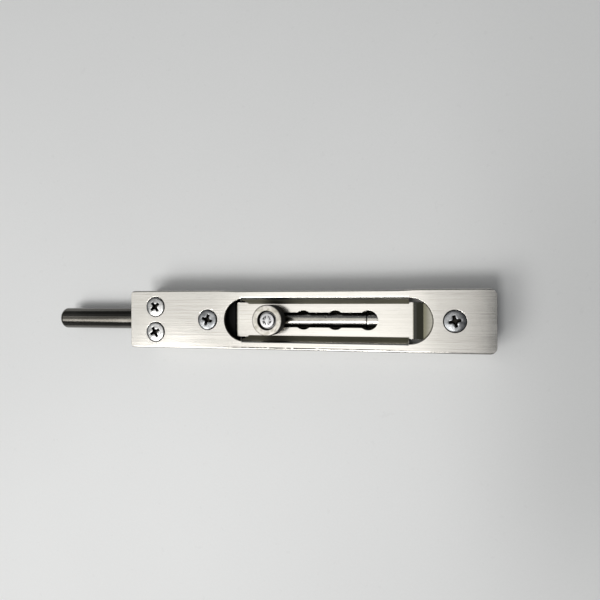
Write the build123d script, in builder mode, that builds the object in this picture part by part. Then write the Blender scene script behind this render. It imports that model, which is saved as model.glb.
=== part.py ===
from build123d import *
from math import acos, degrees
import os

# A six inch flush bolt in stainless steel. Sizes are in millimetres.
# The origin is on the bolt's axis where it leaves the case. The bolt is thrown towards -X,
# +X runs along the case, and +Z points out of the faceplate.
# The knob is modelled pulled clear of its notch, so that the bolt is free to slide.

# Case: one folded channel with a finger opening in its face
case_length = 154.0
case_width = 25.0
case_depth = 18.0
sheet = 1.5
face_z = 10.5
back_z = face_z - case_depth
under_face_z = face_z - sheet
inner_half = case_width / 2 - sheet
bend_outer = 0.6
bend_inner = 0.4
head_corner = 1.8
tail_corner = 2.8
wall_setback = 1.8

# Finger opening: a stadium whose long edges are bent down as sloping lips
opening_start = 44.3
opening_end = 130.8
opening_half = 9.15
lip_half_gap = 6.6
lip_drop = 3.9
lip_thickness = 1.3
lip_root_half = 10.7
lip_bend = 1.1
lip_start = 52.0
lip_end = 121.4
lip_scoop = 2.0

# Slot plate under the opening: four round notches joined by a slot
plate_top_z = face_z - 4.0
plate_thickness = 1.4
plate_half = 7.3
plate_start = 48.0
plate_bend = 0.9
plate_bend_inner = 0.3
ramp_start = 123.0
ramp_end = 127.0
ramp_shift = 0.4
ramp_bend_low = 1.2
ramp_bend_high = 1.6
tab_end = 146.0
notch_first = 64.6
notch_pitch = 13.5
notch_count = 4
notch_radius = 4.0
slot_half = 3.1
plate_leg_z = -6.0
leg_hole_radius = 5.15
bolt_travel = notch_pitch * (notch_count - 1)

# Bolt
bolt_radius = 4.75
bolt_throw = 42.0
bolt_seam = 104.2
bolt_tail = 110.5
tip_round = 1.9
witness_start = 0.4
witness_width = 0.8
witness_depth = 0.3
spigot_radius = 2.5
spigot_length = 5.5
seam_chamfer = 0.3
tail_chamfer = 0.8
ring_count = 4
ring_start = 1.3
ring_pitch = 0.9
ring_width = 0.2
ring_depth = 0.1

# Guides
guide_half = 10.9
guide_bottom_z = -6.2
guide_bore = 4.85
guide_chamfer = 0.6
bore_chamfer = 0.7
head_block_start = 0.4
head_block_end = 22.0
bush_radius = 5.5
bush_bore = 4.82
bush_flange_radius = 6.0
bush_flange = 1.2
middle_guide_start = 28.5
middle_guide_end = 47.8
middle_step_x = 43.4
middle_step_z = 5.95
tail_guide_start = 131.2
tail_guide_end = 153.2
tail_bore_end = 152.0

# Face screws: M4, raised countersunk head with a cross recess
screw_radius = 1.95
screw_hole = 2.0
screw_head_radius = 4.15
screw_rim = 0.45
screw_crown = 0.3
sink_radius = 4.45
screw_tip_z = 5.4
head_screw_x = 12.0
head_screw_y = 5.5
guide_screw_x = 36.7
tail_screw_x = 138.8
recess_length = 4.7
recess_width = 1.2
recess_depth = 2.1
recess_taper = 12

# Square nuts for the two screws on the centre line
nut_side = 7.0
nut_thickness = 2.1
nut_chamfer = 0.4
nut_bottom_z = 5.42
pocket_half = 3.55
pocket_top_z = 7.58

# Back cover and its screws
cover_half = 10.9
cover_start = 0.4
cover_end = 153.2
cover_corner = 1.0
cover_screw_inset = 7.0
cover_screw_y = 8.2
cover_screw_radius = 1.45
cover_screw_head = 2.7
cover_screw_length = 6.0
cover_screw_sink = 0.1
cover_recess_length = 3.2
cover_recess_width = 0.7
cover_recess_depth = 1.0

# Leaf spring that keeps the bolt from rattling
leaf_start = 53.5
leaf_flat = 6.5
leaf_end = 92.0
leaf_half = 4.0
leaf_thickness = 0.4
leaf_crest_z = -4.87
leaf_rivet_x = 56.5
leaf_rivet_y = 2.2
leaf_rivet_radius = 1.25
leaf_rivet_head = 1.9
leaf_rivet_height = 0.5
leaf_rivet_chamfer = 0.2

# Knob, pulled up by knob_lift from its notch
knob_x = notch_first
knob_lift = 1.8
knob_radius = 6.4
knob_top_z = face_z + 4.0
knob_bore = 3.95
knob_top_round = 0.5
knob_bore_chamfer = 0.25
knob_base_chamfer = 0.4
knob_bottom_z = plate_top_z + 0.05 + knob_lift
lock_bush_radius = 3.93
lock_bush_depth = 1.0
lock_nose_radius = 3.85
lock_nose = 1.4
lock_bore = 2.55
lock_chamfer = 0.25
pin_radius = 2.5
pin_head_radius = 3.1
pin_head_z = face_z + 3.7
pin_head = 1.4
pin_head_chamfer = 0.25
pin_seat_z = 3.7
pin_seat_radius = 2.7
pin_tail_radius = 2.0
washer_radius = 3.5
washer_thickness = 0.4
spring_wire = 0.5
spring_radius = 3.0
spring_turns = 4

cover_top_z = guide_bottom_z
opening_middle = (opening_start + opening_end) / 2
DOWN = (Align.CENTER, Align.CENTER, Align.MAX)
UP = (Align.CENTER, Align.CENTER, Align.MIN)


def save(piece, name):
    piece.part.label = name
    export_step(piece.part, f"parts/{name}.step")


def along(start):
    """The YZ plane at a distance along the case."""
    return Plane.YZ.offset(start)


def face_screw(x, y, turn):
    """One raised countersunk screw in the face, pointing down."""
    rim_z = face_z + screw_rim
    crown_radius = (screw_head_radius**2 + screw_crown**2) / (2 * screw_crown)
    crown_start = degrees(acos(screw_head_radius / crown_radius))
    with Locations(Location((x, y, rim_z))):
        Cone(screw_radius, screw_head_radius, screw_head_radius - screw_radius, align=DOWN)
        Cylinder(screw_radius, rim_z - screw_tip_z, align=DOWN)
        Sphere(crown_radius, arc_size1=crown_start, align=UP)
    with BuildSketch(Plane((x, y, rim_z + screw_crown)).rotated((0, 0, turn))) as recess:
        Rectangle(recess_length, recess_width)
        Rectangle(recess_width, recess_length)
        Circle(recess_width)
    extrude(recess.sketch, amount=-recess_depth, taper=recess_taper, mode=Mode.SUBTRACT)


os.makedirs("parts", exist_ok=True)

# Faceplate channel: folded sheet, brushed
with BuildPart() as face_channel:
    with BuildSketch(Plane.YZ):
        with Locations((0, (face_z + back_z) / 2)):
            Rectangle(case_width, case_depth)
        top = vertices().group_by(Axis.Y)[-1]
        fillet(top, bend_outer)
    extrude(amount=case_length)
    with BuildSketch(Plane.YZ):
        with Locations((0, (under_face_z + back_z - 1) / 2)):
            Rectangle(2 * inner_half, under_face_z - back_z + 1)
        fillet(vertices().group_by(Axis.Y)[-1], bend_inner)
    extrude(amount=case_length, mode=Mode.SUBTRACT)
    # the corners of the face are rounded, and the side walls stop short of both ends
    with BuildSketch(Plane.XY.offset(back_z)):
        with Locations((case_length / 2, 0)):
            Rectangle(case_length, case_width)
        fillet(vertices().group_by(Axis.X)[0], head_corner)
        fillet(vertices().group_by(Axis.X)[-1], tail_corner)
    extrude(amount=case_depth, mode=Mode.INTERSECT)
    with BuildSketch(Plane.XY.offset(back_z)):
        with Locations((wall_setback / 2, 0), (case_length - wall_setback / 2, 0)):
            Rectangle(wall_setback, case_width)
    extrude(amount=case_depth - sheet, mode=Mode.SUBTRACT)
    # opening: round ends cut plain, straight edges cut back to the root of the lips
    with BuildSketch(Plane.XY.offset(face_z)):
        with Locations((opening_middle, 0)):
            SlotOverall(opening_end - opening_start, 2 * opening_half)
        with Locations(((lip_start + lip_end) / 2, 0)):
            Rectangle(lip_end - lip_start, 2 * lip_root_half)
    extrude(amount=-sheet, mode=Mode.SUBTRACT)
    # lips: sheet folded down at the slope that closes the opening to the gap between them
    with BuildSketch(along(lip_start)):
        slope = (opening_half - lip_half_gap) / lip_drop
        lip_width = lip_thickness * (1 + slope**2) ** 0.5
        bottom_y = lip_half_gap + lip_width
        root_y = opening_half + lip_width - sheet * slope
        with BuildLine():
            Polyline(
                (opening_half, face_z),
                (lip_half_gap, face_z - lip_drop),
                (bottom_y, face_z - lip_drop),
                (root_y, under_face_z),
                (lip_root_half, under_face_z),
                (lip_root_half, face_z),
                close=True,
            )
        make_face()
        fillet(vertices().sort_by_distance((opening_half, face_z))[0], lip_bend)
        mirror(about=Plane.YZ)
    extrude(amount=lip_end - lip_start)
    # the lower corners of the lips are scooped out at the knob's end
    with Locations((lip_start, 0, face_z - lip_drop)):
        Cylinder(lip_scoop, 2 * lip_root_half, rotation=(90, 0, 0), mode=Mode.SUBTRACT)
    # countersunk holes for the four face screws
    with Locations(
        (head_screw_x, head_screw_y, face_z),
        (head_screw_x, -head_screw_y, face_z),
        (guide_screw_x, 0, face_z),
        (tail_screw_x, 0, face_z),
    ):
        CounterSinkHole(screw_hole + 0.1, sink_radius, depth=sheet + 1)
save(face_channel, "face_channel")

# Slot plate: bent down at the knob's end, stepped up to a tab under the face at the tail
with BuildPart() as slot_plate:
    plate_bottom_z = plate_top_z - plate_thickness
    tab_bottom_z = under_face_z - plate_thickness
    with BuildSketch(Plane.XZ):
        with BuildLine():
            Polyline(
                (plate_start, plate_leg_z),
                (plate_start, plate_top_z),
                (ramp_start, plate_top_z),
                (ramp_end, under_face_z),
                (tab_end, under_face_z),
                (tab_end, tab_bottom_z),
                (ramp_end + ramp_shift, tab_bottom_z),
                (ramp_start + ramp_shift, plate_bottom_z),
                (plate_start + plate_thickness, plate_bottom_z),
                (plate_start + plate_thickness, plate_leg_z),
                close=True,
            )
        make_face()
        corners = vertices()
        fillet(corners.sort_by_distance((plate_start, plate_top_z))[0], plate_bend)
        inner_corner = (plate_start + plate_thickness, plate_bottom_z)
        fillet(corners.sort_by_distance(inner_corner)[0], plate_bend_inner)
        fillet(corners.sort_by_distance((ramp_start, plate_top_z))[0], ramp_bend_low)
        fillet(corners.sort_by_distance((ramp_end, under_face_z))[0], ramp_bend_high)
    extrude(amount=plate_half, both=True)
    with BuildSketch(Plane.XY.offset(plate_top_z)):
        slot_length = bolt_travel + 2 * slot_half
        with Locations((notch_first + bolt_travel / 2, 0)):
            SlotOverall(slot_length, 2 * slot_half)
        with Locations(*[(notch_first + n * notch_pitch, 0) for n in range(notch_count)]):
            Circle(notch_radius)
    extrude(amount=-plate_thickness, mode=Mode.SUBTRACT)
    with Locations(along(plate_start + plate_thickness)):
        Hole(leg_hole_radius, depth=plate_thickness)
    with Locations((tail_screw_x, 0, under_face_z)):
        CounterSinkHole(screw_hole + 0.2, sink_radius - sheet, depth=plate_thickness)
save(slot_plate, "slot_plate")

# Head block: a zinc casting that carries the bolt's bush at the mouth of the case
with BuildPart() as head_block:
    block_height = under_face_z - guide_bottom_z
    with BuildSketch(along(head_block_start)):
        with Locations((0, (under_face_z + guide_bottom_z) / 2)):
            Rectangle(2 * guide_half, block_height)
        chamfer(vertices().group_by(Axis.Y)[-1], guide_chamfer)
    extrude(amount=head_block_end - head_block_start)
    with Locations(along(head_block_end)):
        CounterBoreHole(bush_radius + 0.02, bush_flange_radius + 0.05, bush_flange)
    with Locations(
        (head_screw_x, head_screw_y, under_face_z), (head_screw_x, -head_screw_y, under_face_z)
    ):
        CounterSinkHole(screw_hole, sink_radius - sheet, depth=under_face_z - screw_tip_z + 0.3)
    with BuildSketch(Plane.XY.offset(guide_bottom_z)):
        with Locations((cover_screw_inset, cover_screw_y), (cover_screw_inset, -cover_screw_y)):
            Circle(cover_screw_radius + 0.05)
    extrude(amount=cover_screw_length, mode=Mode.SUBTRACT)
save(head_block, "head_block")

# Brass bush pressed into the head block from inside the case
with BuildPart() as head_bush:
    with Locations(along(head_block_start + 0.2)):
        Cylinder(bush_radius, head_block_end - head_block_start - 0.2, align=UP)
    with Locations(along(head_block_end)):
        Cylinder(bush_flange_radius, bush_flange, align=DOWN)
        Hole(bush_bore)
save(head_bush, "head_bush")

# Middle guide: black nylon, with a square nut slid in from its front
with BuildPart() as middle_guide:
    with BuildSketch(Plane.XZ):
        with BuildLine():
            Polyline(
                (middle_guide_start, guide_bottom_z),
                (middle_guide_end, guide_bottom_z),
                (middle_guide_end, middle_step_z),
                (middle_step_x, middle_step_z),
                (middle_step_x, under_face_z),
                (middle_guide_start, under_face_z),
                close=True,
            )
        make_face()
    extrude(amount=guide_half, both=True)
    upper = edges().filter_by(Axis.X).group_by(Axis.Z)[-1]
    chamfer(upper, guide_chamfer)
    with Locations(along(middle_guide_end)):
        Hole(guide_bore)
    with BuildSketch(Plane.XY.offset(nut_bottom_z - 0.02)):
        pocket_end = guide_screw_x + pocket_half
        with Locations(((middle_guide_start + pocket_end) / 2, 0)):
            Rectangle(pocket_end - middle_guide_start, 2 * pocket_half)
    extrude(amount=pocket_top_z - nut_bottom_z, mode=Mode.SUBTRACT)
    with Locations((guide_screw_x, 0, under_face_z)):
        CounterSinkHole(screw_hole + 0.1, sink_radius - sheet, depth=under_face_z - nut_bottom_z)
save(middle_guide, "middle_guide")

# Tail guide: black nylon, bored from the front for the tail of the bolt
with BuildPart() as tail_guide:
    tab_room_z = under_face_z - plate_thickness
    with BuildSketch(Plane.XZ):
        with BuildLine():
            Polyline(
                (tail_guide_start, guide_bottom_z),
                (tail_guide_end, guide_bottom_z),
                (tail_guide_end, under_face_z),
                (tab_end + 0.2, under_face_z),
                (tab_end + 0.2, tab_room_z),
                (tail_guide_start, tab_room_z),
                close=True,
            )
        make_face()
    extrude(amount=guide_half, both=True)
    chamfer(edges().filter_by(Axis.X).group_by(Axis.Z)[-1], guide_chamfer)
    with BuildSketch(along(tail_guide_start)):
        Circle(guide_bore)
    extrude(amount=tail_bore_end - tail_guide_start, mode=Mode.SUBTRACT)
    mouth = edges().filter_by(GeomType.CIRCLE).group_by(Axis.X)[0]
    chamfer(mouth, bore_chamfer)
    with BuildSketch(Plane.XY.offset(nut_bottom_z - 0.02)):
        with Locations((tail_screw_x, 0)):
            Rectangle(2 * pocket_half, 2 * pocket_half)
    extrude(amount=under_face_z - nut_bottom_z, mode=Mode.SUBTRACT)
    with BuildSketch(Plane.XY.offset(guide_bottom_z)):
        tail_inset = case_length - cover_screw_inset
        with Locations((tail_inset, cover_screw_y), (tail_inset, -cover_screw_y)):
            Circle(cover_screw_radius + 0.05)
    extrude(amount=cover_screw_length, mode=Mode.SUBTRACT)
save(tail_guide, "tail_guide")

# Square nuts held in the two nylon guides
with BuildPart() as square_nuts:
    with Locations((guide_screw_x, 0, nut_bottom_z), (tail_screw_x, 0, nut_bottom_z)):
        Box(nut_side, nut_side, nut_thickness, align=UP)
    upright = edges().filter_by(Axis.Z)
    chamfer(upright, nut_chamfer)
    with Locations(
        (guide_screw_x, 0, nut_bottom_z + nut_thickness),
        (tail_screw_x, 0, nut_bottom_z + nut_thickness),
    ):
        Hole(screw_hole, depth=nut_thickness)
save(square_nuts, "square_nuts")

# Face screws: a bright pair in the head block, and one in each nylon guide
with BuildPart() as head_screws:
    face_screw(head_screw_x, head_screw_y, 38)
    face_screw(head_screw_x, -head_screw_y, 28)
save(head_screws, "head_screws")

with BuildPart() as guide_screw:
    face_screw(guide_screw_x, 0, -18)
save(guide_screw, "guide_screw")

with BuildPart() as tail_screw:
    face_screw(tail_screw_x, 0, 13)
save(tail_screw, "tail_screw")

# Back cover: flat sheet between the side walls, flush with their edges
cover_screw_places = [
    (x, y)
    for x in (cover_screw_inset, case_length - cover_screw_inset)
    for y in (cover_screw_y, -cover_screw_y)
]
with BuildPart() as back_cover:
    with BuildSketch(Plane.XY.offset(back_z)):
        with Locations(((cover_start + cover_end) / 2, 0)):
            RectangleRounded(cover_end - cover_start, 2 * cover_half, cover_corner)
        with Locations((leaf_rivet_x, leaf_rivet_y), (leaf_rivet_x, -leaf_rivet_y)):
            Circle(leaf_rivet_radius + 0.02, mode=Mode.SUBTRACT)
    extrude(amount=cover_top_z - back_z)
    with Locations(Plane.XY.offset(back_z).rotated((180, 0, 0))):
        with Locations(*[(x, -y) for x, y in cover_screw_places]):
            CounterSinkHole(cover_screw_radius + 0.1, cover_screw_head + 0.15)
save(back_cover, "back_cover")

# Cover screws: M3, countersunk, two into each end block
with BuildPart() as cover_screws:
    head_height = cover_screw_head - cover_screw_radius
    for x, y in cover_screw_places:
        rim = (x, y, back_z + cover_screw_sink)
        with Locations(Location(rim)):
            Cone(cover_screw_head, cover_screw_radius, head_height, align=UP)
            Cylinder(cover_screw_radius, cover_screw_length, align=UP)
        with BuildSketch(Plane(rim)):
            Rectangle(cover_recess_length, cover_recess_width)
            Rectangle(cover_recess_width, cover_recess_length)
        extrude(amount=cover_recess_depth, mode=Mode.SUBTRACT)
save(cover_screws, "cover_screws")

# Leaf spring: bowed strip riveted to the cover at one end
with BuildPart() as leaf_spring:
    with BuildSketch(Plane.XZ):
        bow_start = leaf_start + leaf_flat
        bow_middle = (bow_start + leaf_end) / 2
        floor_z = cover_top_z
        with BuildLine():
            Line((leaf_start, floor_z), (bow_start, floor_z))
            ThreePointArc(
                (bow_start, floor_z), (bow_middle, leaf_crest_z - leaf_thickness), (leaf_end, floor_z)
            )
            Line((leaf_end, floor_z), (leaf_end, floor_z + leaf_thickness))
            ThreePointArc(
                (leaf_end, floor_z + leaf_thickness),
                (bow_middle, leaf_crest_z),
                (bow_start, floor_z + leaf_thickness),
            )
            Line((bow_start, floor_z + leaf_thickness), (leaf_start, floor_z + leaf_thickness))
            Line((leaf_start, floor_z + leaf_thickness), (leaf_start, floor_z))
        make_face()
    extrude(amount=leaf_half, both=True)
    with Locations(
        (leaf_rivet_x, leaf_rivet_y, floor_z + leaf_thickness),
        (leaf_rivet_x, -leaf_rivet_y, floor_z + leaf_thickness),
    ):
        Hole(leaf_rivet_radius + 0.02, depth=leaf_thickness)
save(leaf_spring, "leaf_spring")

with BuildPart() as leaf_rivets:
    with Locations((leaf_rivet_x, leaf_rivet_y, back_z), (leaf_rivet_x, -leaf_rivet_y, back_z)):
        Cylinder(leaf_rivet_radius, cover_top_z + leaf_thickness - back_z, align=UP)
    head_z = cover_top_z + leaf_thickness
    with Locations((leaf_rivet_x, leaf_rivet_y, head_z), (leaf_rivet_x, -leaf_rivet_y, head_z)):
        Cylinder(leaf_rivet_head, leaf_rivet_height, align=UP)
    chamfer(edges().filter_by(GeomType.CIRCLE).group_by(Axis.Z)[-1], leaf_rivet_chamfer)
save(leaf_rivets, "leaf_rivets")

# Bolt: round bar with a rounded tip, a witness groove at the mouth and a seat for the knob's pin
with BuildPart() as bolt_rod:
    with BuildSketch(Plane.XZ):
        with BuildLine():
            Polyline(
                (-bolt_throw, 0),
                (-bolt_throw, bolt_radius),
                (witness_start, bolt_radius),
                (witness_start, bolt_radius - witness_depth),
                (witness_start + witness_width, bolt_radius - witness_depth),
                (witness_start + witness_width, bolt_radius),
                (bolt_seam, bolt_radius),
                (bolt_seam, 0),
                close=True,
            )
        make_face()
        corners = vertices()
        fillet(corners.sort_by_distance((-bolt_throw, bolt_radius))[0], tip_round)
        chamfer(corners.sort_by_distance((bolt_seam, bolt_radius))[0], seam_chamfer)
    revolve(axis=Axis.X)
    with Locations((knob_x, 0, pin_seat_z)):
        Cylinder(pin_seat_radius, bolt_radius, align=UP, mode=Mode.SUBTRACT)
        Cylinder(pin_tail_radius, 2 * bolt_radius + pin_seat_z, align=DOWN, mode=Mode.SUBTRACT)
    with Locations(along(bolt_seam)):
        Hole(spigot_radius + 0.03, depth=spigot_length + 0.4)
save(bolt_rod, "bolt_rod")

# Tail piece screwed into the end of the bolt, with fine turned rings
with BuildPart() as bolt_tail_piece:
    with Locations(along(bolt_seam)):
        Cylinder(bolt_radius, bolt_tail - bolt_seam, align=UP)
    ends = edges().filter_by(GeomType.CIRCLE)
    chamfer(ends.group_by(Axis.X)[0], seam_chamfer)
    chamfer(ends.group_by(Axis.X)[-1], tail_chamfer)
    for ring in range(ring_count):
        with BuildSketch(along(bolt_seam + ring_start + ring * ring_pitch)):
            Circle(bolt_radius + ring_depth)
            Circle(bolt_radius - ring_depth, mode=Mode.SUBTRACT)
        extrude(amount=ring_width, mode=Mode.SUBTRACT)
    with Locations(along(bolt_seam)):
        Cylinder(spigot_radius, spigot_length, align=DOWN)
save(bolt_tail_piece, "bolt_tail_piece")

# Knob pin: headed pin that passes through the slot and is riveted into the bolt
with BuildPart() as knob_pin:
    with Locations((knob_x, 0, pin_head_z)):
        Cylinder(pin_head_radius, pin_head, align=DOWN)
    chamfer(edges().filter_by(GeomType.CIRCLE).group_by(Axis.Z)[-1], pin_head_chamfer)
    with Locations((knob_x, 0, pin_seat_z)):
        Cylinder(pin_radius, pin_head_z - pin_head - pin_seat_z, align=UP)
        Cylinder(pin_tail_radius - 0.02, pin_seat_z + bolt_radius - 0.5, align=DOWN)
save(knob_pin, "knob_pin")

# Washer under the pin's head, for the spring to push on
with BuildPart() as pin_washer:
    with Locations((knob_x, 0, pin_head_z - pin_head)):
        Cylinder(washer_radius, washer_thickness, align=DOWN)
        Hole(pin_radius + 0.03, depth=washer_thickness)
save(pin_washer, "pin_washer")

# Compression spring around the pin, inside the knob
chamber_z = knob_bottom_z + lock_bush_depth
spring_top_z = pin_head_z - pin_head - washer_thickness
with BuildPart() as knob_spring:
    coil_height = spring_top_z - chamber_z - spring_wire - 0.1
    coil_base = Location((knob_x, 0, chamber_z + spring_wire / 2 + 0.05))
    coil = coil_base * Helix(coil_height / spring_turns, coil_height, spring_radius)
    with BuildSketch(Plane(coil @ 0, z_dir=coil % 0)):
        Circle(spring_wire / 2)
    sweep(path=coil, is_frenet=True)
save(knob_spring, "knob_spring")

# Knob: plain turned ring
with BuildPart() as knob_collar:
    with Locations((knob_x, 0, knob_bottom_z)):
        Cylinder(knob_radius, knob_top_z - knob_bottom_z, align=UP)
        Cylinder(knob_bore, knob_top_z - knob_bottom_z, align=UP, mode=Mode.SUBTRACT)
    rims = edges().filter_by(GeomType.CIRCLE)
    fillet(rims.group_by(Axis.Z)[-1].sort_by(SortBy.LENGTH)[-1], knob_top_round)
    chamfer(rims.group_by(Axis.Z)[-1].sort_by(SortBy.LENGTH)[0], knob_bore_chamfer)
    chamfer(rims.group_by(Axis.Z)[0].sort_by(SortBy.LENGTH)[-1], knob_base_chamfer)
save(knob_collar, "knob_collar")

# Locking bush: pressed into the knob, its nose drops into the notches of the slot plate
with BuildPart() as locking_bush:
    with Locations((knob_x, 0, knob_bottom_z)):
        Cylinder(lock_bush_radius, lock_bush_depth, align=UP)
        Cylinder(lock_nose_radius, lock_nose, align=DOWN)
    chamfer(edges().filter_by(GeomType.CIRCLE).group_by(Axis.Z)[0], lock_chamfer)
    with Locations((knob_x, 0, chamber_z)):
        Hole(lock_bore)
save(locking_bush, "locking_bush")
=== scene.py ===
from math import cos, pi, radians, sin

import bmesh
import bpy
from mathutils import Matrix, Vector


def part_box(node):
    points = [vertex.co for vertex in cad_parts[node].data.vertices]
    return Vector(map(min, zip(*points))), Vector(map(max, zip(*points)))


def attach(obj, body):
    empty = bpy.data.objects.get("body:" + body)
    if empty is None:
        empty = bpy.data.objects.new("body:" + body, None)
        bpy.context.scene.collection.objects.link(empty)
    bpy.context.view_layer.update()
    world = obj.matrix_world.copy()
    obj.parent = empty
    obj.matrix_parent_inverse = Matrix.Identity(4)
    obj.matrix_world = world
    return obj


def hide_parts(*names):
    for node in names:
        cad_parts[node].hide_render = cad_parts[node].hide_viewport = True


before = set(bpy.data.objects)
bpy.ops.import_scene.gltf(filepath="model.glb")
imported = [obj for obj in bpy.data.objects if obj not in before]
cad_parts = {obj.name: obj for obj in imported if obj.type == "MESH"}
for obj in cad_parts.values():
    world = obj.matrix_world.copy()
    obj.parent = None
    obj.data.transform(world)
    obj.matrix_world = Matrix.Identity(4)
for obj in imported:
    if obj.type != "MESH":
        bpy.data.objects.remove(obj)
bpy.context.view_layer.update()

# ---------------------------------------------------------------- camera and table
# The bolt lies on its back on a pale matt table. A window and a small lamp light it from
# one side, and three bright panels of ceiling from above. The camera looks down from a
# little towards the tail end of the case.

face_low, face_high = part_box("face_channel")
table_z = face_low.z
face_z = face_high.z
mm = 0.001

camera_tilt = radians(14.5)
camera_distance = 0.2212
camera_roll = radians(-0.15)
look_at = Vector((77.7 * mm, 8.3 * mm, face_z))
camera_data = bpy.data.cameras.new("camera")
camera_data.lens = 32.4
camera_data.sensor_width = 36.0
camera_data.clip_start = 0.01
camera = bpy.data.objects.new("camera", camera_data)
camera.location = look_at + Vector((sin(camera_tilt), 0, cos(camera_tilt))) * camera_distance
camera.rotation_euler = (
    Matrix.Rotation(camera_tilt, 3, "Y") @ Matrix.Rotation(camera_roll, 3, "Z")
).to_euler()
bpy.context.scene.collection.objects.link(camera)
bpy.context.scene.camera = camera
bpy.context.scene.view_settings.view_transform = "Standard"


def soft_light(name, place, target, size, power, tint):
    """A rectangular panel of light that faces a point on the table."""
    data = bpy.data.lights.new(name, "AREA")
    data.shape = "RECTANGLE"
    data.size, data.size_y = size
    data.energy = power
    data.color = tint
    light = bpy.data.objects.new(name, data)
    light.location = place
    aim = Vector(target) - Vector(place)
    light.rotation_euler = aim.to_track_quat("-Z", "Y").to_euler()
    bpy.context.scene.collection.objects.link(light)


case_middle = ((face_low.x + face_high.x) / 2, 0, table_z)
soft_light("window", (-0.49, -0.48, 0.92), case_middle, (0.60, 0.50), 5.3, (1.0, 0.995, 0.98))
soft_light("lamp", (-0.02, -0.36, 0.95), case_middle, (0.22, 0.22), 2.6, (1.0, 0.995, 0.985))
ceiling_height = 0.95
ceiling_tint = (1.0, 0.99, 0.97)
ceiling_panels = (
    ("ceiling", (-0.10, 0.0), (0.40, 0.56), 1.01),
    ("ceiling_head", (-0.61, 0.02), (0.62, 0.62), 1.03),
    ("ceiling_tail", (0.163, 0.0), (0.125, 0.56), 0.17),
)
for name, over, size, power in ceiling_panels:
    soft_light(name, (*over, ceiling_height), (*over, 0), size, power, ceiling_tint)

world = bpy.data.worlds.new("room")
world.use_nodes = True
room_light = world.node_tree.nodes["Background"].inputs
room_light["Color"].default_value = (0.94, 0.97, 1.0, 1)
room_light["Strength"].default_value = 0.17
bpy.context.scene.world = world


class Field:
    """A shader value used in a formula, which adds its Math nodes as it is worked out."""

    def __init__(self, finish, socket):
        self.finish = finish
        self.socket = socket

    def math(self, operation, first, second=0.0):
        settings = {"operation": operation}
        return self.finish.node("ShaderNodeMath", settings, {0: first, 1: second})

    def __add__(self, other):
        return self.math("ADD", self, other)

    def __sub__(self, other):
        return self.math("SUBTRACT", self, other)

    def __rsub__(self, other):
        return self.math("SUBTRACT", other, self)

    def __mul__(self, other):
        return self.math("MULTIPLY", self, other)

    def __abs__(self):
        return self.math("ABSOLUTE", self)

    __radd__ = __add__
    __rmul__ = __mul__

    def between(self, low, high):
        """0 below low and 1 above high, with a soft step between."""
        settings = {"interpolation_type": "SMOOTHSTEP"}
        sockets = {"Value": self, "From Min": low, "From Max": high}
        return self.finish.node("ShaderNodeMapRange", settings, sockets)


class Finish:
    """A surface finish: a Principled shader and the nodes that feed it."""

    def __init__(self, name, **constants):
        self.material = bpy.data.materials.new(name)
        self.material.use_nodes = True
        self.tree = self.material.node_tree
        self.shader = self.tree.nodes["Principled BSDF"]
        for socket, value in constants.items():
            self.shader.inputs[socket.replace("_", " ")].default_value = value

    def node(self, kind, settings, sockets, output=0):
        """Adds a node, sets it up, fills its sockets and gives one of its outputs."""
        made = self.tree.nodes.new(kind)
        for key, value in settings.items():
            setattr(made, key, value)
        for key, value in sockets.items():
            if isinstance(value, Field):
                self.tree.links.new(value.socket, made.inputs[key])
            else:
                made.inputs[key].default_value = value
        return Field(self, made.outputs[output])

    def place(self, scale, centre=(0, 0, 0), turn=(0, 0, 0)):
        """The piece's own coordinates in metres, centred and stretched for a pattern."""
        own = self.node("ShaderNodeTexCoord", {}, {}, "Object")
        settings = {"operation": "SUBTRACT"}
        shifted = self.node("ShaderNodeVectorMath", settings, {0: own, 1: centre})
        sockets = {"Vector": shifted, "Rotation": turn, "Scale": scale}
        return self.node("ShaderNodeMapping", {}, sockets)

    def coordinate(self, axis):
        """How far a point lies along X, Y or Z."""
        return self.node("ShaderNodeSeparateXYZ", {}, {0: self.place((1, 1, 1))}, axis)

    def radius(self, centre, across):
        """How far a point lies from an axis, with across 0 along the axis and 1 beside it."""
        arm = self.place(across, centre)
        return self.node("ShaderNodeVectorMath", {"operation": "LENGTH"}, {0: arm}, "Value")

    def noise(self, scale, detail=2.0, roughness=0.5, turn=(0, 0, 0)):
        """Fractal noise with about scale lumps to the metre along each axis."""
        sockets = {
            "Vector": self.place(scale, turn=turn), "Scale": 1.0, "Detail": detail,
            "Roughness": roughness,
        }
        return self.node("ShaderNodeTexNoise", {}, sockets)

    def blend(self, share, first, second):
        """The second colour over the first. A Mix node's colour sockets are 6, 7 and 2."""
        sockets = {0: share, 6: first, 7: second}
        return self.node("ShaderNodeMix", {"data_type": "RGBA"}, sockets, 2)

    def bump(self, height, depth):
        """Relief of a depth in metres where the height goes from 0 to 1."""
        return self.node("ShaderNodeBump", {}, {"Height": height, "Distance": depth})

    def feed(self, **links):
        """Links the shader's sockets and gives the finished material."""
        for socket, value in links.items():
            self.tree.links.new(value.socket, self.shader.inputs[socket.replace("_", " ")])
        return self.material


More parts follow.
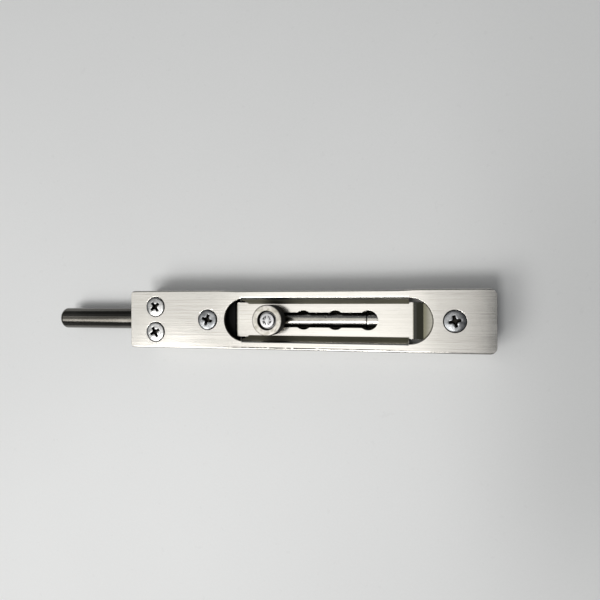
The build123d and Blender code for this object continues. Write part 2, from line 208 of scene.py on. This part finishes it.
def table_finish():
    """Pale speckled laminate, with painted shade beyond the tail end of the case."""
    finish = Finish("table_laminate")
    mottle = finish.noise((9, 9, 9), 3.0)
    grain = finish.noise((1100, 1100, 1100), 3.0)
    specks = finish.noise((330, 330, 330), 2.0).between(0.70, 0.74)
    beside = abs(finish.coordinate("Y") + 0.02).between(0.02, 0.12)
    # Painted shade: the table is darkened past the tail end of the case, most strongly in line
    # with it.
    painted_shade_far_end = finish.coordinate("X").between(0.12, 0.19) * (1 - 0.7 * beside)
    tone = mottle * 0.6 + grain * 0.4 - 0.25 * specks
    near = finish.blend(tone, (0.720, 0.724, 0.722, 1), (0.800, 0.806, 0.804, 1))
    painted_shade_tone = finish.blend(tone, (0.600, 0.604, 0.602, 1), (0.670, 0.676, 0.674, 1))
    return finish.feed(
        Base_Color=finish.blend(painted_shade_far_end, near, painted_shade_tone),
        Roughness=0.45 + 0.1 * grain,
        Normal=finish.bump(grain, 0.02 * mm),
    )


def mesh_object(name, bm, finish):
    """Makes a finished bmesh an object, smooth but for its sharp edges."""
    mesh = bpy.data.meshes.new(name)
    bm.to_mesh(mesh)
    bm.free()
    mesh.materials.append(finish)
    mesh.shade_smooth()
    mesh.set_sharp_from_angle(angle=radians(38))
    made = bpy.data.objects.new(name, mesh)
    bpy.context.scene.collection.objects.link(made)
    return made


table_half = 1.6
table_gap = 0.02 * mm
table_top = (case_middle[0], 0, table_z - table_gap)
bm = bmesh.new()
bmesh.ops.create_grid(bm, x_segments=1, y_segments=1, size=table_half)
bmesh.ops.translate(bm, vec=table_top, verts=bm.verts)
mesh_object("table", bm, table_finish())

# ---------------------------------------------------------------- faceplate channel
# One folded channel of stainless sheet, brushed lengthwise after folding. The finger
# opening is punched, and its long edges are pressed down as sloping lips. Folding pulls
# one long side in a little beside the opening.


def brushed_finish(name, dark, light, rough, lines=1.0, marks=None):
    """Stainless steel with lengthwise belt lines, faint stains and stray nicks.

    The marks function adds one piece's own stains, painted shade and painted reflection to the
    colour and roughness.
    """
    finish = Finish(name, Metallic=1.0)
    fine = finish.noise((26, 5200, 5200), 2.0)
    belt = finish.noise((8, 2200, 2200), 3.0, 0.62)
    bands = finish.noise((7, 420, 420), 2.0)
    stains = finish.noise((38, 60, 60), 4.0, 0.6).between(0.42, 0.72)
    streaks = finish.noise((70, 2600, 2600), 2.0).between(0.60, 0.70)
    nicks = finish.noise((160, 2600, 900), 1.0).between(0.66, 0.70)
    grooves = belt.between(0.36, 0.58)
    tone = 0.42 + 0.3 * fine + 0.3 * grooves + 0.25 * bands
    tone = tone - 0.15 * stains - 0.4 * lines * streaks - 0.2 * nicks
    colour = finish.blend(tone, dark, light)
    roughness = rough - 0.05 + 0.1 * belt + 0.05 * stains
    if marks:
        colour, roughness = marks(finish, colour, roughness)
    return finish.feed(
        Base_Color=colour,
        Roughness=roughness,
        Normal=finish.bump(fine * 0.4 + belt * 0.6, 0.006 * mm),
    )


lip_root = 10.7 * mm
lip_stain_and_shade = (0.25, 0.24, 0.18, 1)
dark_line_y = -11.6 * mm
dark_line_start = 38 * mm
dark_line_end = 128 * mm
painted_reflection_grey = (0.05, 0.048, 0.04, 1)


def channel_marks(finish, colour, roughness):
    """Dull lips inside the opening, darkened by stain and painted shade, and a speckled dark line
    painted beside one fold for the reflection in its bend.
    """
    along = finish.coordinate("X")
    across = finish.coordinate("Y")
    under_face = 1 - finish.coordinate("Z").between(face_z - 1.4 * mm, face_z - 0.25 * mm)
    lips = under_face * (1 - abs(across).between(lip_root, lip_root + 0.4 * mm))
    uneven = finish.noise((7, 420, 420), 2.0)
    # Stain and painted shade: the lips under the face are darkened towards an olive brown.
    colour = finish.blend(lips * (0.72 + 0.5 * uneven), colour, lip_stain_and_shade)
    # Painted reflection: a speckled dark line along the face beside the lower fold stands in for
    # the dark reflection in the bend.
    painted_reflection_line = 1 - abs(across - dark_line_y).between(0.16 * mm, 0.34 * mm)
    painted_reflection_line = painted_reflection_line * along.between(dark_line_start, dark_line_start + 12 * mm)
    painted_reflection_line = painted_reflection_line * (1 - along.between(dark_line_end - 20 * mm, dark_line_end))
    speckles = finish.noise((900, 500, 500), 3.0, 0.7).between(0.38, 0.48)
    return finish.blend(painted_reflection_line * speckles, colour, painted_reflection_grey), roughness + 0.4 * lips


def softened(node, width):
    """A merged copy of a CAD piece whose sharp edges are rounded, as deburring leaves them.

    It is kept inside the piece's own box, since a bevel can overshoot where three edges meet.
    """
    bm = bmesh.new()
    bm.from_mesh(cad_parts[node].data)
    bmesh.ops.remove_doubles(bm, verts=bm.verts, dist=0.001 * mm)
    bmesh.ops.dissolve_limit(bm, angle_limit=radians(0.5), verts=bm.verts, edges=bm.edges)
    sharp_angle = radians(28)
    sharp = [
        edge for edge in bm.edges
        if edge.is_manifold and edge.calc_face_angle() > sharp_angle
    ]
    bmesh.ops.bevel(
        bm, geom=sharp, offset=width, offset_type="OFFSET", affect="EDGES", segments=2,
        profile=0.5, material=-1, clamp_overlap=False,
    )
    bmesh.ops.remove_doubles(bm, verts=bm.verts, dist=0.002 * mm)
    low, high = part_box(node)
    for vert in bm.verts:
        vert.co = [min(max(value, least), most) for value, least, most in zip(vert.co, low, high)]
    return bm


def fitted(node, name, bm, finish, body):
    """Puts a finished bmesh in the place of a CAD node, riding on its body."""
    piece = mesh_object(name, bm, finish)
    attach(piece, body)
    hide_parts(node)
    return piece


def weighted(piece):
    """Keeps large flat faces flat in the shading beside rounded edges."""
    normals = piece.modifiers.new("weighted_normals", "WEIGHTED_NORMAL")
    normals.keep_sharp = True


channel_finish = brushed_finish(
    "brushed_case", (0.46, 0.44, 0.405, 1), (0.655, 0.635, 0.595, 1), 0.155,
    marks=channel_marks,
)
bm = softened("face_channel", 0.12 * mm)
cut_spacing = 3 * mm
for cut in range(1, int((face_high.x - face_low.x) / cut_spacing)):
    bmesh.ops.bisect_plane(
        bm, geom=list(bm.verts) + list(bm.edges) + list(bm.faces),
        plane_co=(face_low.x + cut * cut_spacing, 0, 0), plane_no=(1, 0, 0),
    )
waist = 0.35 * mm
waist_start = 46 * mm
waist_end = 121 * mm
waist_run = 9 * mm
side_inner = face_high.y - 1.6 * mm
for vert in bm.verts:
    if vert.co.y >= side_inner:
        reach = min(vert.co.x - waist_start, waist_end - vert.co.x) / waist_run + 0.5
        share = min(max(reach, 0.0), 1.0)
        vert.co.y -= waist * share * share * (3 - 2 * share)
weighted(fitted(
    "face_channel", "faceplate_channel", bm, channel_finish, "case"
))

# ---------------------------------------------------------------- slot plate
# Satin stainless sheet under the opening. A slot joins the four notches. It is bent down
# at the knob's end and stepped up to a tab that lies under the face at the tail.

plate_top_z = 6.5 * mm
bend_x = 48.2 * mm
tab_x = 122.6 * mm
arc_centre = (121.65 * mm, 0, 0)
arc_radius = 9.15 * mm
tab_shade_brown = (0.17, 0.165, 0.12, 1)
arc_shade_brown = (0.03, 0.028, 0.02, 1)
bend_shade_brown = (0.05, 0.045, 0.03, 1)
edge_shade_grey = (0.02, 0.02, 0.02, 1)


def plate_marks(finish, colour, roughness):
    """Painted shade on the ramp and tab under the face's edge, along the opening's arc, over the
    bend and on the cut edges.
    """
    along = finish.coordinate("X")
    tab = along.between(tab_x, tab_x + 0.3 * mm)
    ramp_foot = 1 - along.between(tab_x + 1.5 * mm, tab_x + 1.8 * mm)
    shelf = along.between(tab_x + 4.4 * mm, tab_x + 8.2 * mm)
    tab_shade = tab * (1 - 0.3 * ramp_foot) * (1 - 0.5 * shelf)
    # Painted shade: the ramp and tab under the face's edge are darkened to a brown.
    colour = finish.blend(tab_shade, colour, tab_shade_brown)
    # Painted shade: a dark line on the tab just inside the arc of the opening.
    beside_arc = finish.radius(arc_centre, (1, 1, 0))
    arc_shade = tab * beside_arc.between(arc_radius - 0.7 * mm, arc_radius - 0.15 * mm)
    colour = finish.blend(0.85 * arc_shade, colour, arc_shade_brown)
    # Painted shade: the plate is darkened over the bend at the knob's end and down its leg.
    colour = finish.blend(along.between(bend_x, bend_x + 1.5 * mm), bend_shade_brown, colour)
    # Painted shade: below the plate's top face, its cut edges, underside and bent-down leg are
    # made near black.
    top = finish.coordinate("Z").between(plate_top_z - 0.2 * mm, plate_top_z - 0.02 * mm)
    cut = (1 - top) * (1 - along.between(tab_x - 1 * mm, tab_x))
    return finish.blend(cut, colour, edge_shade_grey), roughness


def deburred(node, name, width, finish):
    """A piece of the case that keeps its CAD shape, with its edges rounded by a width."""
    weighted(fitted(node, name, softened(node, width), finish, "case"))


plate_finish = brushed_finish(
    "satin_plate", (0.43, 0.415, 0.38, 1), (0.60, 0.58, 0.54, 1), 0.18, lines=0.4,
    marks=plate_marks,
)
deburred("slot_plate", "notched_slot_plate", 0.09 * mm, plate_finish)

# ---------------------------------------------------------------- head block and bush
# Zinc casting that closes the mouth of the case, with a turned brass bush pressed in
# from behind. Two face screws hold the block.


def shade(level, warmth=0.0):
    """A grey with a little warmth, as linear red, green, blue and alpha."""
    return (level * (1 + warmth), level, level * (1 - warmth), 1.0)


def cast_finish():
    """Grey zinc with a sandy skin and the faint flow marks of casting."""
    finish = Finish("zinc_casting", Metallic=0.9)
    skin = finish.noise((700, 700, 700), 4.0, 0.6)
    flow = finish.noise((60, 160, 60), 3.0)
    return finish.feed(
        Base_Color=finish.blend(flow * 0.6 + skin * 0.4, shade(0.34, 0.01), shade(0.52)),
        Roughness=0.46 + 0.2 * skin,
        Normal=finish.bump(skin, 0.03 * mm),
    )


def lathe_rings(finish, path, detail):
    """The fine rings that a lathe tool leaves as it moves along a path."""
    settings = {"noise_dimensions": "1D"}
    return finish.node("ShaderNodeTexNoise", settings, {"W": path, "Detail": detail})


def brass_finish():
    """Turned brass: fine rings about the bolt's axis, and a little tarnish."""
    finish = Finish("brass", Metallic=1.0)
    rings_per_metre = 5200
    path = (finish.radius((0, 0, 0), (0, 1, 1)) + finish.coordinate("X")) * rings_per_metre
    rings = lathe_rings(finish, path, 3.0)
    tarnish = finish.noise((420, 420, 420), 4.0, 0.62)
    tone = rings * 0.4 + tarnish * 0.6
    return finish.feed(
        Base_Color=finish.blend(tone, (0.42, 0.27, 0.10, 1), (0.66, 0.46, 0.20, 1)),
        Roughness=0.22 + 0.12 * rings + 0.1 * tarnish,
        Normal=finish.bump(rings * 0.7 + tarnish * 0.3, 0.006 * mm),
    )


def turned(outline, rims, upright_at=None, sides=96):
    """Spins an outline of (distance along the axis, radius) points round the bolt's axis.

    An outline that starts off the axis is closed, for a bored piece. A rim is a circular
    edge to round: its distance and radius, and the width and steps of the rounding. A
    piece that is upright at a centre stands on an axis there instead.
    """
    bm = bmesh.new()
    line = [bm.verts.new((along, 0, radius)) for along, radius in outline]
    edges = [bm.edges.new(pair) for pair in zip(line, line[1:])]
    if outline[0][1] > 0:
        edges.append(bm.edges.new((line[-1], line[0])))
    bmesh.ops.spin(
        bm, geom=line + edges, cent=(0, 0, 0), axis=(1, 0, 0), angle=2 * pi, steps=sides,
        use_merge=True,
    )
    bmesh.ops.remove_doubles(bm, verts=bm.verts, dist=0.0001 * mm)
    bmesh.ops.recalc_face_normals(bm, faces=bm.faces)
    close = 0.001 * mm
    for place, radius, width, steps in rims:
        rim = [
            edge for edge in bm.edges
            if all(
                abs(vert.co.x - place) < close and abs(vert.co.yz.length - radius) < close
                for vert in edge.verts
            )
        ]
        bmesh.ops.bevel(
            bm, geom=rim, offset=width, offset_type="OFFSET", affect="EDGES", segments=steps,
            profile=0.5, material=-1,
        )
    if upright_at is not None:
        stand_up = Matrix.Rotation(-pi / 2, 3, "Y")
        bmesh.ops.rotate(bm, cent=(0, 0, 0), matrix=stand_up, verts=bm.verts)
        bmesh.ops.translate(bm, vec=upright_at, verts=bm.verts)
    return bm


deburred("head_block", "head_casting", 0.25 * mm, cast_finish())

bush_low, bush_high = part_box("head_bush")
bush_bore = 4.82 * mm
bush_wall = 5.5 * mm
collar_x = bush_high.x - 1.2 * mm
bm = turned(
    [
        (bush_low.x, bush_bore), (bush_high.x, bush_bore), (bush_high.x, bush_high.z),
        (collar_x, bush_high.z), (collar_x, bush_wall), (bush_low.x, bush_wall),
    ],
    [(bush_low.x, bush_bore, 0.25 * mm, 3), (bush_low.x, bush_wall, 0.2 * mm, 2)],
)
weighted(fitted("head_bush", "mouth_bush", bm, brass_finish(), "case"))

# ---------------------------------------------------------------- nylon guides
# Two black nylon mouldings that steady the bolt: one under the knob's end of the face,
# the other bored for the tail. Each traps a square nut for its face screw.


def nylon_finish():
    """Dead black nylon with the fine spark-eroded texture of its mould."""
    finish = Finish("black_nylon", Specular_IOR_Level=0.12)
    spark = finish.noise((2600, 2600, 2600), 2.0)
    flow = finish.noise((90, 30, 90), 3.0)
    return finish.feed(
        Base_Color=finish.blend(flow, (0.002, 0.002, 0.002, 1), (0.006, 0.006, 0.006, 1)),
        Roughness=0.55 + 0.2 * spark,
        Normal=finish.bump(spark, 0.03 * mm),
    )


nylon = nylon_finish()
for node, name in (("middle_guide", "middle_moulding"), ("tail_guide", "tail_moulding")):
    deburred(node, name, 0.2 * mm, nylon)

# ---------------------------------------------------------------- screws and nuts
# Cold-headed countersunk screws with a cross recess. The pair at the head is bright, and
# the others have gone grey. Grime and painted shade darken the recesses and the countersinks.


def screw_finish(name, dark, light, rough):
    """Plated steel with forging dents and smears, made dark below the face by grime and painted
    shade.
    """
    finish = Finish(name, Metallic=1.0)
    dents = finish.noise((900, 900, 900), 3.0, 0.6)
    smear = finish.noise((260, 420, 300), 3.0)
    bright_share = finish.coordinate("Z").between(face_z - 0.2 * mm, face_z + 0.33 * mm)
    colour = finish.blend(smear.between(0.3, 0.7), dark, light)
    # Grime and painted shade: below the face, in the cross recess and countersink, the colour
    # goes near black.
    recess_shade_and_grime = (0.03, 0.028, 0.024, 1)
    return finish.feed(
        Base_Color=finish.blend(bright_share, recess_shade_and_grime, colour),
        Roughness=rough + 0.3 - 0.3 * bright_share + 0.12 * dents,
        Normal=finish.bump(dents, 0.05 * mm),
    )


bright_screw = screw_finish(
    "bright_screw", (0.30, 0.30, 0.295, 1), (0.56, 0.56, 0.555, 1), 0.18
)
grey_screw = screw_finish(
    "grey_screw", (0.15, 0.155, 0.16, 1), (0.33, 0.335, 0.34, 1), 0.24
)
deburred("head_screws", "bright_face_screws", 0.07 * mm, bright_screw)
grey_pieces = (
    ("guide_screw", "guide_face_screw"),
    ("tail_screw", "tail_face_screw"),
    ("square_nuts", "trapped_nuts"),
)
for node, name in grey_pieces:
    deburred(node, name, 0.07 * mm, grey_screw)

# ---------------------------------------------------------------- back cover
# Flat sheet that closes the channel, with four small countersunk screws. A bowed leaf
# of spring steel is riveted to it and rubs on the bolt.

back_finish = brushed_finish(
    "brushed_back", (0.44, 0.43, 0.41, 1), (0.66, 0.65, 0.63, 1), 0.36
)
deburred("back_cover", "back_sheet", 0.12 * mm, back_finish)


def small_steel_finish(name, level, rough):
    """Plain drawn or headed steel for small pieces."""
    finish = Finish(name, Metallic=1.0)
    drawn = finish.noise((300, 3000, 3000), 2.0)
    spots = finish.noise((700, 700, 700), 4.0, 0.6)
    tone = spots * 0.7 + drawn * 0.3
    return finish.feed(
        Base_Color=finish.blend(tone, shade(level * 0.7, 0.02), shade(level)),
        Roughness=rough + 0.14 * spots,
        Normal=finish.bump(drawn * 0.5 + spots * 0.5, 0.01 * mm),
    )


# The spring steel's dark grey is partly painted shade, so that the coil and washer in the knob's
# gap read dark.
spring_steel = small_steel_finish("spring_steel", 0.22, 0.26)
small_screw = small_steel_finish("small_screw_steel", 0.60, 0.28)
cover_pieces = (
    ("cover_screws", "cover_sheet_screws", small_screw, "grey_screw"),
    ("leaf_spring", "bowed_leaf", spring_steel, "spring_steel"),
    ("leaf_rivets", "leaf_rivet_pair", small_screw, "grey_screw"),
)
for node, name, finish, slot in cover_pieces:
    deburred(node, name, 0.06 * mm, finish)

# ---------------------------------------------------------------- bolt
# Drawn round bar, darker than the case, with long die streaks and a tumbled tip. Its
# tail piece is screwed on behind a fine seam and carries turned rings.

rod_low, rod_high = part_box("bolt_rod")
rod_radius = rod_high.z
seam_x = rod_high.x


def bar_finish():
    """Drawn steel with die streaks and pits, and a painted reflection: dark at the tip, bright
    along the slot.
    """
    finish = Finish("bolt_steel", Metallic=1.0)
    streaks = finish.noise((9, 900, 900), 4.0, 0.62)
    fine = finish.noise((30, 4200, 4200), 2.0)
    patches = finish.noise((55, 120, 120), 4.0, 0.6)
    tone = streaks.between(0.36, 0.66) * 0.6 + patches.between(0.35, 0.7) * 0.25 + fine * 0.15
    along = finish.coordinate("X")
    bright_share = along.between(-4 * mm, 60 * mm)
    seam = 1 - abs(along - seam_x).between(0.14 * mm, 0.34 * mm)
    pits = finish.noise((900, 1300, 1300), 2.0).between(0.66, 0.70)
    soiled = seam * 0.9 + pits * 0.7 * (1 - seam)
    # Painted reflection: a dark copy of the steel towards the tip and a bright copy along the
    # slot.
    painted_dim_steel = finish.blend(tone, (0.04, 0.037, 0.03, 1), (0.20, 0.192, 0.175, 1))
    painted_bright_steel = finish.blend(tone, (0.20, 0.19, 0.165, 1), (0.68, 0.66, 0.62, 1))
    metal = finish.blend(bright_share, painted_dim_steel, painted_bright_steel)
    return finish.feed(
        Base_Color=finish.blend(soiled, metal, (0.01, 0.01, 0.01, 1)),
        Roughness=0.11 + 0.10 * streaks + 0.05 * patches,
        Normal=finish.bump(streaks * 0.6 + fine * 0.4, 0.01 * mm),
    )


def groove(start, width, depth):
    """The four points of a square groove turned into the bolt."""
    floor = rod_radius - depth
    return [
        (start, rod_radius), (start, floor), (start + width, floor), (start + width, rod_radius)
    ]


bar = bar_finish()
bar_sides = 128
tip_round = 1.9 * mm
seam_round = 0.3 * mm
witness_groove = groove(0.4 * mm, 0.8 * mm, 0.3 * mm)
bm = turned(
    [(rod_low.x, 0), (rod_low.x, rod_radius), *witness_groove, (seam_x, rod_radius), (seam_x, 0)],
    [(rod_low.x, rod_radius, tip_round, 6), (seam_x, rod_radius, seam_round, 2)],
    sides=bar_sides,
)
weighted(fitted("bolt_rod", "round_bolt", bm, bar, "bolt"))

tail_low, tail_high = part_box("bolt_tail_piece")
rings_start = seam_x + 1.3 * mm
ring_pitch = 0.9 * mm
ring_count = 4
spigot_radius = 2.5 * mm
outline = [
    (tail_low.x, 0), (tail_low.x, spigot_radius), (seam_x, spigot_radius), (seam_x, rod_radius)
]
for ring in range(ring_count):
    outline += groove(rings_start + ring * ring_pitch, 0.22 * mm, 0.12 * mm)
outline += [(tail_high.x, rod_radius), (tail_high.x, 0)]
bm = turned(
    outline,
    [(seam_x, rod_radius, seam_round, 2), (tail_high.x, rod_radius, 0.8 * mm, 3)],
    sides=bar_sides,
)
weighted(fitted("bolt_tail_piece", "screwed_tail", bm, bar, "bolt"))

# ---------------------------------------------------------------- knob
# A headed pin is riveted into the bolt through the slot. A coil spring and washer under
# its head push down a turned ring, whose pressed-in bush drops into the notches.

ring_low, ring_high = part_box("knob_collar")
knob_centre = Vector(((ring_low.x + ring_high.x) / 2, 0, 0))
ring_radius = (ring_high.x - ring_low.x) / 2
bore_radius = 3.95 * mm


def knob_finish():
    """Dull stainless, slightly yellow and pitted on top, with painted shade making its flank and
    bore near black.
    """
    finish = Finish("turned_steel", Specular_IOR_Level=0.3)
    radius = finish.radius(knob_centre, (1, 1, 0))
    rings_per_metre = 6000
    rings = lathe_rings(finish, radius * rings_per_metre, 2.0)
    pits = finish.noise((900, 900, 900), 2.0).between(0.60, 0.68)
    worn = finish.noise((420, 420, 420), 3.0).between(0.35, 0.68)
    top = radius.between(bore_radius, bore_radius + 0.2 * mm)
    top = top * (1 - radius.between(ring_radius - 0.22 * mm, ring_radius - 0.05 * mm))
    tone = 0.3 * rings + 0.7 * worn - 0.9 * pits
    steel = finish.blend(tone, (0.27, 0.255, 0.215, 1), (0.57, 0.55, 0.51, 1))
    # Painted shade: all but the top annulus, that is the flank and bore, gets a near-black
    # colour.
    return finish.feed(
        Base_Color=finish.blend(top, (0.030, 0.028, 0.025, 1), steel),
        Metallic=0.5 + 0.5 * top,
        Roughness=0.62 - 0.26 * top + 0.1 * worn + 0.04 * rings,
        Normal=finish.bump(rings * 0.4 - 0.8 * pits, 0.03 * mm),
    )


turned_steel = knob_finish()
bm = turned(
    [
        (ring_low.z, bore_radius), (ring_high.z, bore_radius), (ring_high.z, ring_radius),
        (ring_low.z, ring_radius),
    ],
    [
        (ring_high.z, ring_radius, 0.5 * mm, 4), (ring_high.z, bore_radius, 0.25 * mm, 3),
        (ring_low.z, ring_radius, 0.4 * mm, 2),
    ],
    upright_at=knob_centre,
)
weighted(fitted("knob_collar", "turned_knob_ring", bm, turned_steel, "knob"))

nose_low, nose_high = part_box("locking_bush")
bush_radius = (nose_high.x - nose_low.x) / 2
nose_radius = 3.85 * mm
pin_bore = 2.55 * mm
bm = turned(
    [
        (nose_low.z, pin_bore), (nose_high.z, pin_bore), (nose_high.z, bush_radius),
        (ring_low.z, bush_radius), (ring_low.z, nose_radius), (nose_low.z, nose_radius),
    ],
    [(nose_low.z, nose_radius, 0.25 * mm, 2)],
    upright_at=knob_centre,
)
weighted(fitted("locking_bush", "locking_nose", bm, turned_steel, "knob"))

pin_low, pin_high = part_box("knob_pin")
head_radius = (pin_high.x - pin_low.x) / 2
head_under = pin_high.z - 1.4 * mm
pin_radius = 2.5 * mm
pin_seat = 3.7 * mm
pin_tail_radius = 1.98 * mm
punch_radius = 1.45 * mm


def pin_finish():
    """Bright pin head with two curved rows of punch marks from the riveting tool."""
    finish = Finish("pin_steel", Metallic=1.0)
    dents = finish.noise((620, 620, 620), 2.0)
    chatter = finish.noise((2300, 1500, 1500), 2.0, turn=(0, 0, 0.9))
    row = 1 - abs(finish.radius(knob_centre, (1, 1, 0)) - punch_radius).between(
        0.35 * mm, 0.75 * mm
    )
    sides = abs(finish.coordinate("X") - knob_centre.x).between(0.25 * mm, 0.5 * mm)
    dirt = row * sides * chatter.between(0.46, 0.53)
    return finish.feed(
        Base_Color=finish.blend(dirt, (0.44, 0.44, 0.445, 1), (0.05, 0.05, 0.05, 1)),
        Roughness=0.26 + 0.2 * dents + 0.2 * dirt,
        Normal=finish.bump(dents - 0.8 * dirt, 0.06 * mm),
    )


bm = turned(
    [
        (pin_low.z, 0), (pin_low.z, pin_tail_radius), (pin_seat, pin_tail_radius),
        (pin_seat, pin_radius), (head_under, pin_radius), (head_under, head_radius),
        (pin_high.z, head_radius), (pin_high.z, 0),
    ],
    [(pin_high.z, head_radius, 0.3 * mm, 4)],
    upright_at=knob_centre,
)
weighted(fitted("knob_pin", "riveted_pin", bm, pin_finish(), "bolt"))

washer_low, washer_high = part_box("pin_washer")
washer_radius = (washer_high.x - washer_low.x) / 2
bm = turned(
    [
        (washer_low.z, pin_bore), (washer_high.z, pin_bore), (washer_high.z, washer_radius),
        (washer_low.z, washer_radius),
    ],
    [],
    upright_at=knob_centre,
)
weighted(fitted("pin_washer", "spring_washer", bm, spring_steel, "bolt"))

coil_low, coil_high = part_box("knob_spring")
wire_radius = 0.25 * mm
coil_radius = 3.0 * mm
coil_turns = 4
coil_rise = coil_high.z - coil_low.z - 2 * wire_radius
coil_steps = 60 * coil_turns
bm = bmesh.new()
section = bmesh.ops.create_circle(
    bm, segments=14, radius=wire_radius,
    matrix=Matrix.Translation((coil_radius, 0, 0)) @ Matrix.Rotation(pi / 2, 4, "X"),
)
section_edges = list({edge for vert in section["verts"] for edge in vert.link_edges})
bmesh.ops.spin(
    bm, geom=section["verts"] + section_edges, cent=(0, 0, 0), axis=(0, 0, 1),
    dvec=(0, 0, coil_rise / coil_steps), angle=2 * pi * coil_turns, steps=coil_steps,
)
bmesh.ops.holes_fill(bm, edges=[edge for edge in bm.edges if edge.is_boundary], sides=0)
bmesh.ops.recalc_face_normals(bm, faces=bm.faces)
coil_foot = knob_centre + Vector((0, 0, coil_low.z + wire_radius))
bmesh.ops.translate(bm, vec=coil_foot, verts=bm.verts)
fitted("knob_spring", "coil_spring", bm, spring_steel, "bolt")
